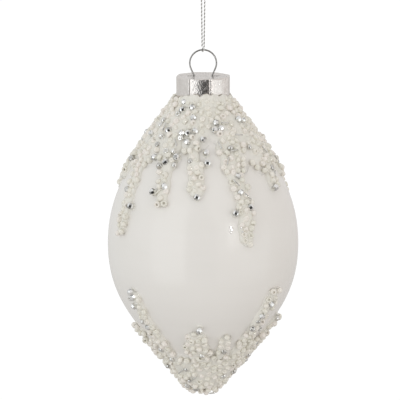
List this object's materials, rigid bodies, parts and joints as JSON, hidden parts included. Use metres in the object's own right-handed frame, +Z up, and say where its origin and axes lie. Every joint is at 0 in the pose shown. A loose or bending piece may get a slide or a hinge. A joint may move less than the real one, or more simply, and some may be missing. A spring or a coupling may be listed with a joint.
{
  "type": "hanging bauble ornament",
  "caption": "Pointed oval white glass bauble with beaded icicle runs from both ends, lobed silver cap, sprung wire hanger and cord loop.",
  "frame": {"origin": "where a hook bears, inside the top of the cord loop; everything hangs below it", "axes": "+Z up along the hang line, -Y the side with the longest run at its right, X across the plane of the wire eye"},
  "size_m": [0.074, 0.074, 0.1766],
  "materials": {
    "silver_cord": "two-ply twisted metallic silver thread",
    "hanger_steel": "bright drawn spring wire",
    "cap_chrome": "bright silver with a fine hammered texture",
    "white_glass": "gloss blown glass lacquered pearly white inside",
    "bead_glass": "off-white and clear silver-lined seed beads set in clear glue",
    "mirror_bead": "faceted mirror silver"
  },
  "bodies": {
    "hanging_loop": {"cord_loop": "silver_cord", "cord_knot": "silver_cord"},
    "cord_bight": {"cord_hitch": "silver_cord"},
    "wire_hanger": {"hanger_wire": "hanger_steel"},
    "cap": {"cap": "cap_chrome"},
    "bauble": {"glass_body": "white_glass", "bead_collar": "bead_glass", "tip_bead_crust": "bead_glass", "upper_icicle_01": "bead_glass", "upper_icicle_02": "bead_glass", "upper_icicle_03": "bead_glass", "upper_icicle_04": "bead_glass", "upper_icicle_05": "bead_glass", "upper_icicle_06": "bead_glass", "upper_icicle_07": "bead_glass", "upper_icicle_08": "bead_glass", "upper_icicle_09": "bead_glass", "upper_icicle_10": "bead_glass", "upper_icicle_11": "bead_glass", "upper_icicle_12": "bead_glass", "upper_icicle_13": "bead_glass", "upper_icicle_14": "bead_glass", "lower_icicle_01": "bead_glass", "lower_icicle_02": "bead_glass", "lower_icicle_03": "bead_glass", "lower_icicle_04": "bead_glass", "lower_icicle_05": "bead_glass", "lower_icicle_06": "bead_glass", "lower_icicle_07": "bead_glass", "lower_icicle_08": "bead_glass", "lower_icicle_09": "bead_glass", "lower_icicle_10": "bead_glass", "lower_icicle_11": "bead_glass", "mirror_bead_01": "mirror_bead", "mirror_bead_02": "mirror_bead", "mirror_bead_03": "mirror_bead", "mirror_bead_04": "mirror_bead", "mirror_bead_05": "mirror_bead", "mirror_bead_06": "mirror_bead", "mirror_bead_07": "mirror_bead", "mirror_bead_08": "mirror_bead", "mirror_bead_09": "mirror_bead", "mirror_bead_10": "mirror_bead", "mirror_bead_11": "mirror_bead", "mirror_bead_12": "mirror_bead", "mirror_bead_13": "mirror_bead", "mirror_bead_14": "mirror_bead", "mirror_bead_15": "mirror_bead", "mirror_bead_16": "mirror_bead", "mirror_bead_17": "mirror_bead", "mirror_bead_18": "mirror_bead", "mirror_bead_19": "mirror_bead", "mirror_bead_20": "mirror_bead", "mirror_bead_21": "mirror_bead"}
  },
  "joints": [
    {"name": "ornament_spin", "type": "hinge", "parent": "hanging_loop", "child": "cord_bight", "pos_m": [0, 0, -0.0389], "axis": [0, 0, 1], "continuous": true},
    {"name": "hanger_swing", "type": "hinge", "parent": "cord_bight", "child": "wire_hanger", "pos_m": [0, 0, -0.04032], "axis": [1, 0, 0], "range_deg": [-85, 85]},
    {"name": "hanger_draw", "type": "slide", "parent": "wire_hanger", "child": "cap", "axis": [0, 0, -1], "range_m": [0, 0.02]},
    {"name": "glass_pull", "type": "slide", "parent": "cap", "child": "bauble", "axis": [0, 0, -1], "range_m": [0, 0.01]}
  ]
}
